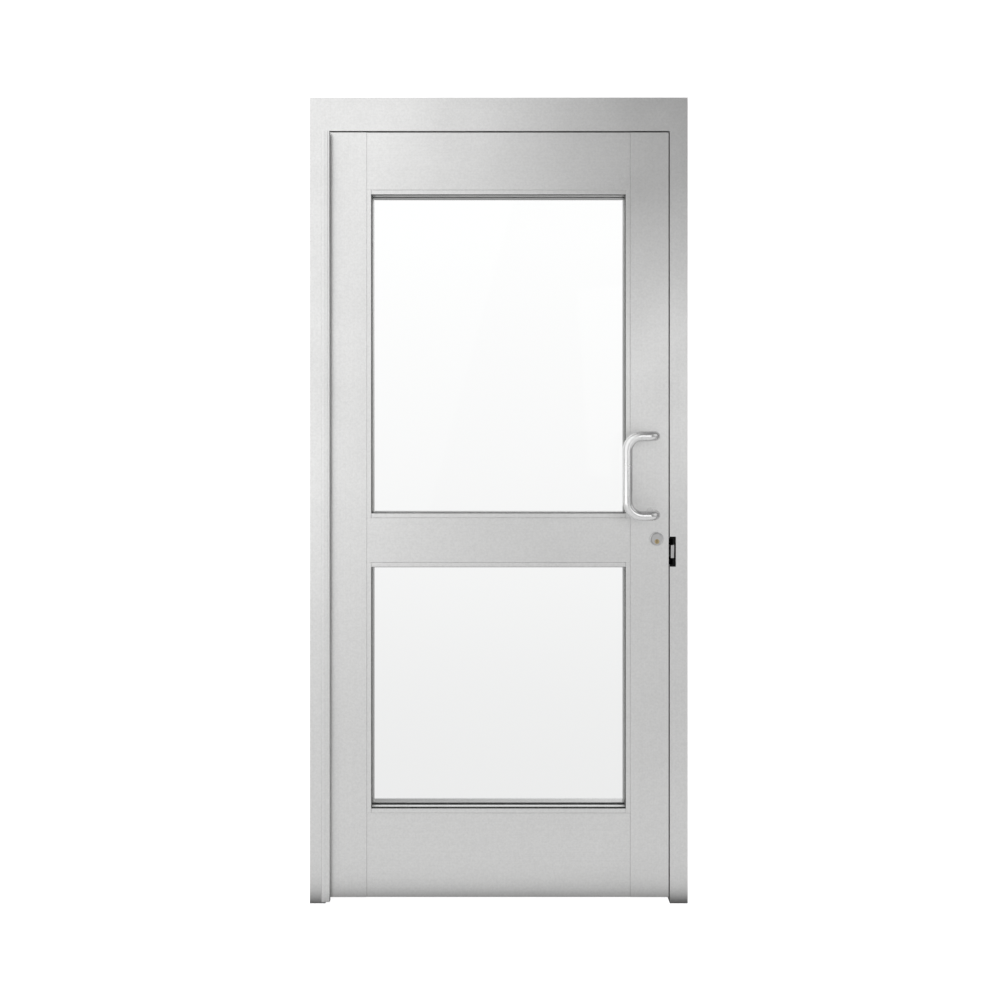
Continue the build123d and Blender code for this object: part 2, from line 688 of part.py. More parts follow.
for name, (low, high) in lites.items():
    mid_z = (low + high) / 2
    bead_ys = (FACE_Y + bead_depth / 2, LEAF_BACK - bead_depth / 2)

    with BuildPart() as glass:
        with Locations((lite_mid_x, LEAF_MID_Y, mid_z)):
            Box(
                RAIL_LENGTH - 2 * GLASS_EDGE_GAP,
                GLASS_THICKNESS,
                high - low - 2 * GLASS_EDGE_GAP,
            )
    parts[name + "_glass"] = glass

    with BuildPart() as side_beads:
        for y in bead_ys:
            for x, facing in ((RAIL_LEFT, 1), (RAIL_RIGHT, -1)):
                place = Plane((x, y, low), x_dir=(facing, 0, 0), z_dir=(0, 0, facing))
                with BuildSketch(place):
                    bead_section(BEAD_WIDTH, bead_depth)
                extrude(amount=facing * (high - low))
    parts[name + "_side_beads"] = side_beads

    with BuildPart() as rail_beads:
        for y in bead_ys:
            for z, facing in ((low, 1), (high, -1)):
                place = Plane(
                    (RAIL_LEFT + BEAD_WIDTH, y, z), x_dir=(0, 0, facing), z_dir=(facing, 0, 0)
                )
                with BuildSketch(place):
                    bead_section(BEAD_WIDTH, bead_depth)
                extrude(amount=facing * (RAIL_LENGTH - 2 * BEAD_WIDTH))
    parts[name + "_rail_beads"] = rail_beads

    with BuildPart() as gaskets:
        for y in (glass_front - GASKET_THICKNESS, glass_back):
            with BuildSketch(Plane.XZ.offset(-y - GASKET_THICKNESS)):
                with Locations((lite_mid_x, mid_z)):
                    Rectangle(
                        RAIL_LENGTH - gasket_outer_inset,
                        high - low - gasket_outer_inset,
                    )
                    Rectangle(
                        RAIL_LENGTH - 2 * BEAD_WIDTH + 2 * GASKET_SETBACK,
                        high - low - 2 * BEAD_WIDTH + 2 * GASKET_SETBACK,
                        mode=Mode.SUBTRACT,
                    )
            extrude(amount=GASKET_THICKNESS)
    parts[name + "_gaskets"] = gaskets

with BuildPart() as setting_blocks:
    for low, _high in lites.values():
        for x in (lite_mid_x - RAIL_LENGTH / 4, lite_mid_x + RAIL_LENGTH / 4):
            with Locations((x, LEAF_MID_Y, low)):
                Box(
                    SETTING_BLOCK_LENGTH,
                    GLASS_THICKNESS,
                    GLASS_EDGE_GAP,
                    align=(Align.CENTER, Align.CENTER, Align.MIN),
                )
parts["setting_blocks"] = setting_blocks

# Door pull: one bent bar from post to post, held by bolts from behind
with BuildPart() as pull_handle:
    low_z, high_z = pull_zs
    with BuildLine() as pull_path:
        FilletPolyline(
            (PULL_X, FACE_Y, low_z),
            (PULL_X, GRIP_Y, low_z),
            (GRIP_X, GRIP_Y, low_z),
            (GRIP_X, GRIP_Y, high_z),
            (PULL_X, GRIP_Y, high_z),
            (PULL_X, FACE_Y, high_z),
            radius=[PULL_POST_R, PULL_CORNER_R, PULL_CORNER_R, PULL_POST_R],
        )
    with BuildSketch(Plane((PULL_X, FACE_Y, low_z), x_dir=(1, 0, 0), z_dir=(0, -1, 0))):
        Circle(PULL_DIAMETER / 2)
    sweep()
    for z in pull_zs:
        with Locations(Location((PULL_X, FACE_Y, z), (90, 0, 0))):
            Cylinder(
                PULL_BOLT_R + SCREW_CLEARANCE,
                2 * (PULL_BOLT_GRIP + 1),
                mode=Mode.SUBTRACT,
            )
parts["pull_handle"] = pull_handle

with BuildPart() as pull_bolts:
    for z in pull_zs:
        with Locations(Location((PULL_X, LEAF_BACK, z), (-90, 0, 0))):
            add(
                screw(
                    PULL_HEAD_R,
                    LEAF_DEPTH + PULL_BOLT_GRIP,
                    PULL_BOLT_R,
                    flat=False,
                    head_height=PULL_HEAD_HEIGHT,
                )
            )
parts["pull_bolts"] = pull_bolts

# Lock: the case behind the leaf's edge, its faceplate and the screws between them
outer_end_y = LEAF_MID_Y - CAM_THICKNESS - 2 * RUNNING_GAP
inner_end_y = LEAF_MID_Y + CAM_THICKNESS + 2 * RUNNING_GAP
faceplate_screw_places = [
    Location((LEAF_RIGHT, LEAF_MID_Y, CASE_MID_Z + side * FACEPLATE_SCREW_SPACING / 2), (0, 90, 0))
    for side in (-1, 1)
]

with BuildPart() as lock_case:
    with Locations((CASE_FRONT_X, LEAF_MID_Y, CASE_MID_Z)):
        Box(CASE_DEPTH, CASE_WIDTH, CASE_HEIGHT, align=(Align.MAX, Align.CENTER, Align.CENTER))
    with Locations(Location((LOCK_X, LEAF_MID_Y, LOCK_HEIGHT), (90, 0, 0))):
        Cylinder(CYLINDER_R + CYLINDER_CLEARANCE, 2 * CASE_WIDTH, mode=Mode.SUBTRACT)
    with Locations(Location((LOCK_X, LEAF_MID_Y, PLUG_Z), (90, 0, 0))):
        Cylinder(CAM_POCKET_R, 2 * (CAM_THICKNESS + 2 * RUNNING_GAP), mode=Mode.SUBTRACT)
    with Locations((CASE_FRONT_X, LEAF_MID_Y, LATCH_Z)):
        Box(
            LATCH_LENGTH,
            LATCH_WIDTH + 2 * LATCH_CLEARANCE,
            LATCH_HEIGHT + 2 * LATCH_CLEARANCE,
            align=(Align.MAX, Align.CENTER, Align.CENTER),
            mode=Mode.SUBTRACT,
        )
    with Locations(*faceplate_screw_places):
        add(flat_hole, mode=Mode.SUBTRACT)
parts["lock_case"] = lock_case

with BuildPart() as lock_faceplate:
    with Locations((LEAF_RIGHT, LEAF_MID_Y, CASE_MID_Z)):
        Box(
            FACEPLATE_THICKNESS,
            CASE_WIDTH,
            FACEPLATE_LENGTH,
            align=(Align.MAX, Align.CENTER, Align.CENTER),
        )
    with Locations((LEAF_RIGHT, LEAF_MID_Y, LATCH_Z)):
        Box(
            3 * FACEPLATE_THICKNESS,
            LATCH_WIDTH + 2 * LATCH_CLEARANCE,
            LATCH_HEIGHT + 2 * LATCH_CLEARANCE,
            mode=Mode.SUBTRACT,
        )
    with Locations(*faceplate_screw_places):
        add(flat_hole, mode=Mode.SUBTRACT)
parts["lock_faceplate"] = lock_faceplate

with BuildPart() as lock_faceplate_screws:
    with Locations(*faceplate_screw_places):
        add(flat_screw)
parts["lock_faceplate_screws"] = lock_faceplate_screws

# Lock: the latch bolt, drawn back flush with its faceplate, with a bevel on the closing side
with BuildPart() as latch_bolt:
    nose = LATCH_WIDTH * 0.8
    with BuildSketch(Plane.XY.offset(LATCH_Z - LATCH_HEIGHT / 2)):
        with BuildLine():
            Polyline(
                (LEAF_RIGHT - LATCH_LENGTH, LEAF_MID_Y - LATCH_WIDTH / 2),
                (LEAF_RIGHT, LEAF_MID_Y - LATCH_WIDTH / 2),
                (LEAF_RIGHT - 1, LEAF_MID_Y - LATCH_WIDTH / 2 + 2),
                (LEAF_RIGHT - nose, LEAF_MID_Y + LATCH_WIDTH / 2),
                (LEAF_RIGHT - LATCH_LENGTH, LEAF_MID_Y + LATCH_WIDTH / 2),
                close=True,
            )
        make_face()
    extrude(amount=LATCH_HEIGHT)
parts["latch_bolt"] = latch_bolt


def cylinder_body(outside_y, inside_y, plug_r):
    """A round lock cylinder across the leaf with an off-centre bore for its plug."""
    middle = (outside_y + inside_y) / 2
    length = abs(inside_y - outside_y)
    with BuildPart() as piece:
        with Locations(Location((LOCK_X, middle, LOCK_HEIGHT), (90, 0, 0))):
            Cylinder(CYLINDER_R, length)
        with Locations(Location((LOCK_X, middle, PLUG_Z), (90, 0, 0))):
            Cylinder(plug_r + PLUG_CLEARANCE, 2 * length, mode=Mode.SUBTRACT)
    return piece


def collar(face_y, outward):
    """The ring between the leaf's face and the head of a cylinder."""
    middle = face_y + outward * COLLAR_HEIGHT / 2
    with BuildPart() as piece:
        with Locations(Location((LOCK_X, middle, LOCK_HEIGHT), (90, 0, 0))):
            Cylinder(COLLAR_R, COLLAR_HEIGHT)
            Cylinder(CYLINDER_R + CYLINDER_CLEARANCE, 2 * COLLAR_HEIGHT, mode=Mode.SUBTRACT)
    return piece


def cam(front_y):
    """The cam on the end of a plug, pointing down."""
    with BuildPart() as piece:
        with BuildSketch(Plane.XZ.offset(-front_y - CAM_THICKNESS)):
            with Locations((LOCK_X, PLUG_Z)):
                Circle(CAM_R)
            with Locations((LOCK_X, PLUG_Z - CAM_REACH / 2)):
                Rectangle(CAM_R, CAM_REACH)
        extrude(amount=CAM_THICKNESS)
    return piece


# Lock: the keyed cylinder on the pull side
outer_face_y = FACE_Y - CYLINDER_PROUD
parts["key_cylinder"] = cylinder_body(outer_face_y, outer_end_y, PLUG_R)
parts["cylinder_collar"] = collar(FACE_Y, -1)

with BuildPart() as key_plug:
    with Locations(Location((LOCK_X, (outer_face_y + outer_end_y) / 2, PLUG_Z), (90, 0, 0))):
        Cylinder(PLUG_R, outer_end_y - outer_face_y)
    with Locations((LOCK_X, outer_face_y, PLUG_Z)):
        Box(
            KEYWAY_WIDTH,
            KEYWAY_DEPTH,
            KEYWAY_HEIGHT,
            align=(Align.CENTER, Align.MIN, Align.CENTER),
            mode=Mode.SUBTRACT,
        )
parts["key_plug"] = key_plug
parts["key_cam"] = cam(outer_end_y)

# Lock: the thumb-turn cylinder on the push side
inner_face_y = LEAF_BACK + CYLINDER_PROUD
parts["turn_cylinder"] = cylinder_body(inner_face_y, inner_end_y, PLUG_R)
parts["turn_collar"] = collar(LEAF_BACK, 1)

with BuildPart() as thumb_turn:
    with Locations(Location((LOCK_X, (inner_face_y + inner_end_y) / 2, PLUG_Z), (90, 0, 0))):
        Cylinder(PLUG_R, inner_face_y - inner_end_y)
    with Locations((LOCK_X, inner_face_y, PLUG_Z)):
        Box(
            TURN_WIDTH,
            TURN_REACH,
            TURN_LENGTH,
            align=(Align.CENTER, Align.MIN, Align.CENTER),
        )
    grip_edges = thumb_turn.edges().filter_by(Axis.Y).group_by(Axis.Y)[-1]
    fillet(grip_edges, TURN_WIDTH / 2.5)
parts["thumb_turn"] = thumb_turn
parts["turn_cam"] = cam(inner_end_y - CAM_THICKNESS)

# Electric strike: the housing let into the jamb's corner, open towards the leaf and the pull side
housing_top = STRIKE_Z + NOTCH_HEIGHT / 2 - STRIKE_FIT
housing_height = NOTCH_HEIGHT - 2 * STRIKE_FIT
plate_back_x = OPENING_RIGHT + STRIKE_PLATE
pocket_right = PIN_X + KEEPER_KNUCKLE_R + STRIKE_FIT
plate_low_y = LEAF_MID_Y - STRIKE_WIDTH / 2
strike_screw_places = [
    Location((OPENING_RIGHT, LEAF_MID_Y, STRIKE_Z + side * STRIKE_SCREW_SPACING / 2), (0, -90, 0))
    for side in (-1, 1)
]


def pocket_cut(depth_y):
    """The room for the latch and the keeper, cut from whatever is open."""
    with Locations((OPENING_RIGHT, FACE_Y, STRIKE_Z)):
        Box(
            2 * (pocket_right - OPENING_RIGHT),
            2 * depth_y,
            POCKET_HEIGHT,
            mode=Mode.SUBTRACT,
        )


pocket_depth_y = LEAF_MID_Y + LATCH_WIDTH / 2 + POCKET_LATCH_GAP - FACE_Y

with BuildPart() as strike_housing:
    with Locations((plate_back_x, FACE_Y + HOUSING_SETBACK, STRIKE_Z)):
        Box(
            OPENING_RIGHT + NOTCH_WIDTH - STRIKE_FIT - plate_back_x,
            LEAF_DEPTH / 2 - HOUSING_SETBACK,
            housing_height,
            align=(Align.MIN, Align.MIN, Align.CENTER),
        )
    with Locations((plate_back_x, LEAF_MID_Y, STRIKE_Z)):
        Box(
            HOUSING_DEPTH,
            STRIKE_WIDTH - 2 * STRIKE_FIT,
            housing_height,
            align=(Align.MIN, Align.CENTER, Align.CENTER),
        )
        Box(
            EAR_THICKNESS,
            STRIKE_WIDTH - 2 * STRIKE_FIT,
            STRIKE_LENGTH - 2 * STRIKE_FIT,
            align=(Align.MIN, Align.CENTER, Align.CENTER),
        )
    pocket_cut(pocket_depth_y)
    for side in (-1, 1):
        rib_near = KEEPER_HEIGHT / 2 + RIB_GAP
        rib_height = POCKET_HEIGHT / 2 - rib_near
        with Locations((PIN_X, PIN_Y, STRIKE_Z + side * (rib_near + rib_height / 2))):
            Box(
                2 * (KEEPER_KNUCKLE_R + STRIKE_FIT),
                2 * KEEPER_KNUCKLE_R,
                rib_height,
            )
    with Locations((PIN_X, PIN_Y, STRIKE_Z)):
        Cylinder(
            KEEPER_PIN_R + KEEPER_PIN_CLEARANCE, housing_height - 2 * HOUSING_WALL, mode=Mode.SUBTRACT
        )
    with Locations(*strike_screw_places):
        add(flat_hole, mode=Mode.SUBTRACT)
parts["strike_housing"] = strike_housing

with BuildPart() as strike_faceplate:
    with Locations((OPENING_RIGHT, LEAF_MID_Y, STRIKE_Z)):
        Box(
            STRIKE_PLATE,
            STRIKE_WIDTH - 2 * STRIKE_FIT,
            STRIKE_LENGTH - 2 * STRIKE_FIT,
            align=(Align.MIN, Align.CENTER, Align.CENTER),
        )
    pocket_cut(pocket_depth_y)
    with Locations(*strike_screw_places):
        add(flat_hole, mode=Mode.SUBTRACT)
parts["strike_faceplate"] = strike_faceplate

with BuildPart() as strike_screws:
    with Locations(*strike_screw_places):
        add(flat_screw)
parts["strike_screws"] = strike_screws

# Electric strike: the keeper that lets the latch go, on its upright pin
with BuildPart() as strike_keeper:
    with BuildSketch(Plane.XY.offset(STRIKE_Z - KEEPER_HEIGHT / 2)):
        front_y = FACE_Y + HOUSING_SETBACK
        back_y = LEAF_MID_Y - LATCH_WIDTH / 2 - KEEPER_LATCH_GAP
        with Locations((OPENING_RIGHT + KEEPER_INSET, front_y)):
            Rectangle(KEEPER_WIDTH, back_y - front_y, align=Align.MIN)
        with Locations((PIN_X, PIN_Y)):
            Circle(KEEPER_KNUCKLE_R)
        with Locations((PIN_X, PIN_Y)):
            Rectangle(
                KEEPER_KNUCKLE_R + 1,
                2 * KEEPER_KNUCKLE_R,
                align=(Align.MAX, Align.CENTER),
            )
        with Locations((PIN_X, PIN_Y)):
            Circle(KEEPER_PIN_R + KEEPER_PIN_CLEARANCE, mode=Mode.SUBTRACT)
    extrude(amount=KEEPER_HEIGHT)
parts["strike_keeper"] = strike_keeper

with BuildPart() as keeper_pin:
    with Locations((PIN_X, PIN_Y, STRIKE_Z)):
        Cylinder(KEEPER_PIN_R, housing_height - 2 * HOUSING_WALL)
parts["keeper_pin"] = keeper_pin

os.makedirs("parts", exist_ok=True)
for name, piece in parts.items():
    piece.part.label = name
    export_step(piece.part, f"parts/{name}.step")
print(len(parts), "nodes")
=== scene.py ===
from math import pi, radians

import bmesh
import bpy
from mathutils import Matrix, Vector


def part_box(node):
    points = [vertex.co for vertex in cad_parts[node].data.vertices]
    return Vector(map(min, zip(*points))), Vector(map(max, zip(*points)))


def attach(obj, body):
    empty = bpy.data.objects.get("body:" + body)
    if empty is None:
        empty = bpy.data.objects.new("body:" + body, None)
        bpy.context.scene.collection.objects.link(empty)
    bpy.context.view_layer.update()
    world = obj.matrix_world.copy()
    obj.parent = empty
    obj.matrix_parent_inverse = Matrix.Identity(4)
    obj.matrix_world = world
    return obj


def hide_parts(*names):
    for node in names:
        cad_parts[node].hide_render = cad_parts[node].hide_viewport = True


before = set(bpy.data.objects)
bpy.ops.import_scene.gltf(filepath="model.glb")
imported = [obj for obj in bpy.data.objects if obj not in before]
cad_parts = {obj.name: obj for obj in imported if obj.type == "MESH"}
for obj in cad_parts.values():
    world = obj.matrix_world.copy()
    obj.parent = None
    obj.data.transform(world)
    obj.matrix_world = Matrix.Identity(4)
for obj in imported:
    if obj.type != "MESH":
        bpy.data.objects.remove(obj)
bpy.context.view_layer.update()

# Camera
# The photograph looks straight at the pull side from about 1.6 m, level, with its eye
# at the height of the pull. The whole door fits because the picture is shifted down.
EYE_DISTANCE = 1.60
EYE_HEIGHT = 1.289
METRES_PER_PIXEL = 0.002655
PICTURE_PIXELS = 1000
HORIZON_ROW = 418.0
CENTRE_COLUMN = 498.8
SENSOR = 36.0
NEAREST_SEEN = 0.01


def link(obj):
    bpy.context.scene.collection.objects.link(obj)
    return obj


jamb_low, jamb_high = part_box("hinge_jamb")
face_y = jamb_low.y
frame_height = jamb_high.z

camera = bpy.data.cameras.new("camera")
camera.sensor_width = SENSOR
camera.lens = SENSOR * EYE_DISTANCE / (METRES_PER_PIXEL * PICTURE_PIXELS)
camera.shift_x = (PICTURE_PIXELS / 2 - CENTRE_COLUMN) / PICTURE_PIXELS
camera.shift_y = (HORIZON_ROW - PICTURE_PIXELS / 2) / PICTURE_PIXELS
camera.clip_start = NEAREST_SEEN
camera_object = link(bpy.data.objects.new("camera", camera))
camera_object.location = (0, face_y - EYE_DISTANCE, EYE_HEIGHT)
camera_object.rotation_euler = (radians(90), 0, 0)
bpy.context.scene.camera = camera_object
bpy.context.scene.view_settings.view_transform = "Standard"

# Studio
# A white floor that runs up into a white wall behind the door, a broad soft light high on
# the left, smaller ones in front on the right, at the right and overhead, and one behind.
# Near the door the floor and wall carry painted shade in the metal's mirror images and through
# the glass.
FLOOR_HALF = 6.0
FLOOR_COLOUR = (0.82, 0.82, 0.82, 1)
FOLD_REACH = 1.2
BACKDROP_Y = 3.0
WORLD_STRENGTH = 0.21
FLOOR_MIRRORED = 0.80
BACKDROP_MIRRORED = 0.35
# Painted shade: in the metal's mirror images the floor and wall glow only this much right at
# the door.
PAINTED_FLOOR_SHADE = 0.05
PAINTED_SHADE_REACH = 0.072
SEEN_WHITE = 0.88
# Painted shade through the glass: the white seen there is greyer near the door and near the
# floor.
SEEN_NEAR = 0.84
SEEN_FAR = 1.0
SEEN_REACH = (0.2, 5.6)
WHITE = (1, 1, 1, 1)
MERGE_REACH = 1e-6


def node_material(name):
    """A new material with its node tree emptied down to the output."""
    material = bpy.data.materials.new(name)
    material.use_nodes = True
    nodes = material.node_tree.nodes
    nodes.clear()
    output = nodes.new("ShaderNodeOutputMaterial")
    return material, nodes, material.node_tree.links, output


def add_math(nodes, links, operation, first, second):
    """A Math node fed by sockets or plain numbers."""
    node = nodes.new("ShaderNodeMath")
    node.operation = operation
    for socket, value in zip(node.inputs, (first, second)):
        if isinstance(value, (int, float)):
            socket.default_value = value
        else:
            links.new(value, socket)
    return node.outputs[0]


def add_ramp(nodes, links, value, start, end, smooth=False):
    """A Map Range node from a value's start pair to its end pair: (at, gives), (at, gives)."""
    ramp = nodes.new("ShaderNodeMapRange")
    if smooth:
        ramp.interpolation_type = "SMOOTHSTEP"
    ramp.inputs["From Min"].default_value, ramp.inputs["To Min"].default_value = start
    ramp.inputs["From Max"].default_value, ramp.inputs["To Max"].default_value = end
    links.new(value, ramp.inputs["Value"])
    return ramp.outputs["Result"]


def choose_by_ray(nodes, links, shader, *seen_by):
    """Swap a shader for another one where a ray of the named kind meets it."""
    path = nodes.new("ShaderNodeLightPath")
    for ray, seen in seen_by:
        mix = nodes.new("ShaderNodeMixShader")
        links.new(path.outputs[ray], mix.inputs[0])
        links.new(shader.outputs[0], mix.inputs[1])
        links.new(seen.outputs[0], mix.inputs[2])
        shader = mix
    return shader


def white_stage_material():
    """White to the camera; through glass a white with painted shade, greyer near the door and
    the floor;
    in the metal's mirror images bright with painted shade dark at the door and dimmer behind
    it; a pale matt floor to everything else."""
    material, nodes, links, output = node_material("studio_white")
    place = nodes.new("ShaderNodeTexCoord")
    split = nodes.new("ShaderNodeSeparateXYZ")
    links.new(place.outputs["Object"], split.inputs[0])
    in_front = add_math(nodes, links, "SUBTRACT", face_y, split.outputs["Y"])
    behind = add_math(nodes, links, "SUBTRACT", split.outputs["Y"], jamb_high.y)

    matt = nodes.new("ShaderNodeBsdfDiffuse")
    matt.inputs["Color"].default_value = FLOOR_COLOUR
    # Painted shade: in the metal's mirror images the floor and wall glow dark right at the door
    # and brighten over a few centimetres, to a lower level behind the door than in front.
    painted_shade_ramps = [
        add_ramp(nodes, links, away, (0.0, PAINTED_FLOOR_SHADE), (PAINTED_SHADE_REACH, brightest), smooth=True)
        for away, brightest in ((in_front, FLOOR_MIRRORED), (behind, BACKDROP_MIRRORED))
    ]
    mirrored = nodes.new("ShaderNodeEmission")
    links.new(add_math(nodes, links, "MAXIMUM", *painted_shade_ramps), mirrored.inputs["Strength"])

    # Painted shade: through the glass the white is greyer near the door and the floor.
    outward = add_math(nodes, links, "MAXIMUM", in_front, behind)
    distance = add_math(nodes, links, "ADD", outward, split.outputs["Z"])
    nearest, farthest = SEEN_REACH
    painted_glass_shade = add_ramp(nodes, links, distance, (nearest, SEEN_NEAR), (farthest, SEEN_FAR))
    through_glass = nodes.new("ShaderNodeEmission")
    links.new(painted_glass_shade, through_glass.inputs["Strength"])

    glow = nodes.new("ShaderNodeEmission")
    glow.inputs["Strength"].default_value = SEEN_WHITE
    white = nodes.new("ShaderNodeAddShader")
    links.new(glow.outputs[0], white.inputs[0])
    links.new(matt.outputs[0], white.inputs[1])
    shader = choose_by_ray(
        nodes,
        links,
        matt,
        ("Is Glossy Ray", mirrored),
        ("Is Transmission Ray", through_glass),
        ("Is Camera Ray", white),
    )
    links.new(shader.outputs[0], output.inputs["Surface"])
    return material


def studio_floor():
    """Floor and backdrop in one sheet with a rounded corner between them."""
    sheet = bmesh.new()
    bmesh.ops.create_grid(sheet, x_segments=1, y_segments=1, size=FLOOR_HALF)
    back = [e for e in sheet.edges if all(v.co.y > 0 for v in e.verts)]
    bmesh.ops.translate(sheet, verts=back[0].verts, vec=(0, BACKDROP_Y - FLOOR_HALF, 0))
    raised = bmesh.ops.extrude_edge_only(sheet, edges=back)
    top = [v for v in raised["geom"] if isinstance(v, bmesh.types.BMVert)]
    bmesh.ops.translate(sheet, verts=top, vec=(0, 0, FLOOR_HALF))
    corner = [
        v
        for v in sheet.verts
        if abs(v.co.y - BACKDROP_Y) < MERGE_REACH and v.co.z < MERGE_REACH
    ]
    bmesh.ops.bevel(
        sheet,
        geom=[e for e in sheet.edges if all(v in corner for v in e.verts)],
        offset=FOLD_REACH,
        segments=12,
        profile=0.5,
        affect="EDGES",
        material=-1,
    )
    for face in sheet.faces:
        face.smooth = True
    mesh = bpy.data.meshes.new("studio_floor")
    sheet.to_mesh(mesh)
    sheet.free()
    mesh.materials.append(white_stage_material())
    return link(bpy.data.objects.new("studio_floor", mesh))


def soft_light(name, place, size, radiance):
    """A square area light turned towards the middle of the door."""
    light = bpy.data.lights.new(name, "AREA")
    light.size = size
    light.energy = radiance * pi * size * size
    lamp = link(bpy.data.objects.new(name, light))
    lamp.location = place
    aim = Vector((0, face_y, frame_height / 2)) - Vector(place)
    lamp.rotation_euler = aim.to_track_quat("-Z", "Y").to_euler()
    lamp.visible_camera = False
    lamp.visible_transmission = False


def studio_world():
    """Dim even light all round, seen as plain white by the camera and through glass."""
    world = bpy.data.worlds.new("studio")
    world.use_nodes = True
    nodes = world.node_tree.nodes
    links = world.node_tree.links
    dim = nodes["Background"]
    dim.inputs["Color"].default_value = WHITE
    dim.inputs["Strength"].default_value = WORLD_STRENGTH
    white = nodes.new("ShaderNodeBackground")
    white.inputs["Color"].default_value = WHITE
    white.inputs["Strength"].default_value = 1.0
    seen_by = (("Is Transmission Ray", white), ("Is Camera Ray", white))
    shader = choose_by_ray(nodes, links, dim, *seen_by)
    links.new(shader.outputs[0], nodes["World Output"].inputs["Surface"])
    return world


studio_floor()
soft_light("key_light", place=(-1.94, -2.06, 2.28), size=5.0, radiance=1.0)
soft_light("fill_light", place=(1.07, -1.97, 1.50), size=1.2, radiance=1.3)
soft_light("top_light", place=(-0.4, -1.2, 4.6), size=3.0, radiance=0.3)
soft_light("side_light", place=(2.7, -0.6, 2.0), size=1.8, radiance=0.6)
soft_light("back_light", place=(1.1, 2.5, 2.3), size=3.2, radiance=0.75)
bpy.context.scene.world = studio_world()

# Frame tubes
# Square-cut aluminium extrusions, 3.2 mm thick, clear anodised to a satin finish. The jambs
# run full height and the header butts between them, with a short filler over the hinge.
ALUMINIUM = (0.79, 0.79, 0.785)
SATIN = 0.48
ACROSS_DIE_LINES = 260.0
ALONG_DIE_LINES = 1.2
ETCH_SHARE = 0.75
FINE_RELIEF = 0.0001
EDGE_BREAK = 0.0007
HEADER_EDGE_BREAK = 0.0002
FLAT_ANGLE = radians(1)
SHARP_ANGLE = radians(40)
ON_PLANE = 1e-5


def add_noise(nodes, links, vector, scale, detail=2.0):
    """A Noise node on the given coordinates."""
    noise = nodes.new("ShaderNodeTexNoise")
    noise.inputs["Scale"].default_value = scale
    noise.inputs["Detail"].default_value = detail
    links.new(vector, noise.inputs["Vector"])
    return noise.outputs["Fac"]


def vary_colour(nodes, links, shader, pattern, colour, spread):
    """Let a pattern swing the base colour by a share of itself each way."""
    tone = nodes.new("ShaderNodeMix")
    tone.data_type = "RGBA"
    tone.inputs["A"].default_value = (*[c * (1 - spread) for c in colour], 1)
    tone.inputs["B"].default_value = (*[min(1.0, c * (1 + spread)) for c in colour], 1)
    links.new(pattern, tone.inputs["Factor"])
    links.new(tone.outputs["Result"], shader.inputs["Base Color"])


def add_relief(nodes, links, shader, pattern, strength, height):
    """Let a pattern raise the surface by a small height in metres."""
    bump = nodes.new("ShaderNodeBump")
    bump.inputs["Strength"].default_value = strength
    bump.inputs["Distance"].default_value = height
    links.new(pattern, bump.inputs["Height"])
    links.new(bump.outputs["Normal"], shader.inputs["Normal"])


def anodised(name, colour, roughness, along, grain=0.12, relief=0.12, metallic=1.0):
    """Clear anodised extrusion: a fine etched grain, and faint die lines along one axis."""
    material, nodes, links, output = node_material(name)
    place = nodes.new("ShaderNodeTexCoord").outputs["Object"]
    stretch = nodes.new("ShaderNodeMapping")
    stretch.inputs["Scale"].default_value = [
        ALONG_DIE_LINES if axis == along else ACROSS_DIE_LINES for axis in "XYZ"
    ]
    links.new(place, stretch.inputs["Vector"])
    die_lines = add_noise(nodes, links, stretch.outputs[0], scale=1.0, detail=3.0)
    etch = add_noise(nodes, links, place, scale=190.0)
    cloud = add_noise(nodes, links, place, scale=5.0)
    etched = add_math(nodes, links, "MULTIPLY", etch, ETCH_SHARE)
    drawn = add_math(nodes, links, "MULTIPLY", die_lines, 1 - ETCH_SHARE)
    pattern = add_math(nodes, links, "ADD", etched, drawn)
    shader = nodes.new("ShaderNodeBsdfPrincipled")
    shader.inputs["Metallic"].default_value = metallic
    vary_colour(nodes, links, shader, pattern, colour, grain)
    duller = add_ramp(nodes, links, cloud, (0.3, roughness - 0.04), (0.7, roughness + 0.04))
    links.new(duller, shader.inputs["Roughness"])
    add_relief(nodes, links, shader, pattern, relief, FINE_RELIEF)
    links.new(shader.outputs[0], output.inputs["Surface"])
    return material


def finish_node(node, material):
    """Give a CAD node that stays as it is its own finish."""
    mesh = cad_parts[node].data
    mesh.materials.clear()
    mesh.materials.append(material)


def merged_copy(node):
    """A bmesh of a CAD node with its triangles joined up at their corners."""
    copy = bmesh.new()
    copy.from_mesh(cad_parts[node].data)
    bmesh.ops.remove_doubles(copy, verts=copy.verts, dist=MERGE_REACH)
    return copy


def flat_faced_copy(node):
    """A merged copy with the triangles of each flat side made one face."""
    copy = merged_copy(node)
    bmesh.ops.dissolve_limit(copy, angle_limit=FLAT_ANGLE, verts=copy.verts, edges=copy.edges)
    return copy


def add_piece(name, shape, body, material):
    """Make a finished bmesh a piece that rides on a body."""
    mesh = bpy.data.meshes.new(name)
    shape.to_mesh(mesh)
    shape.free()
    mesh.materials.append(material)
    piece = link(bpy.data.objects.new(name, mesh))
    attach(piece, body)
    return piece


def stand_in(copy, node, body, material):
    """Show a reshaped copy of a CAD node in its place."""
    piece = add_piece(node + "_finished", copy, body, material)
    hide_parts(node)


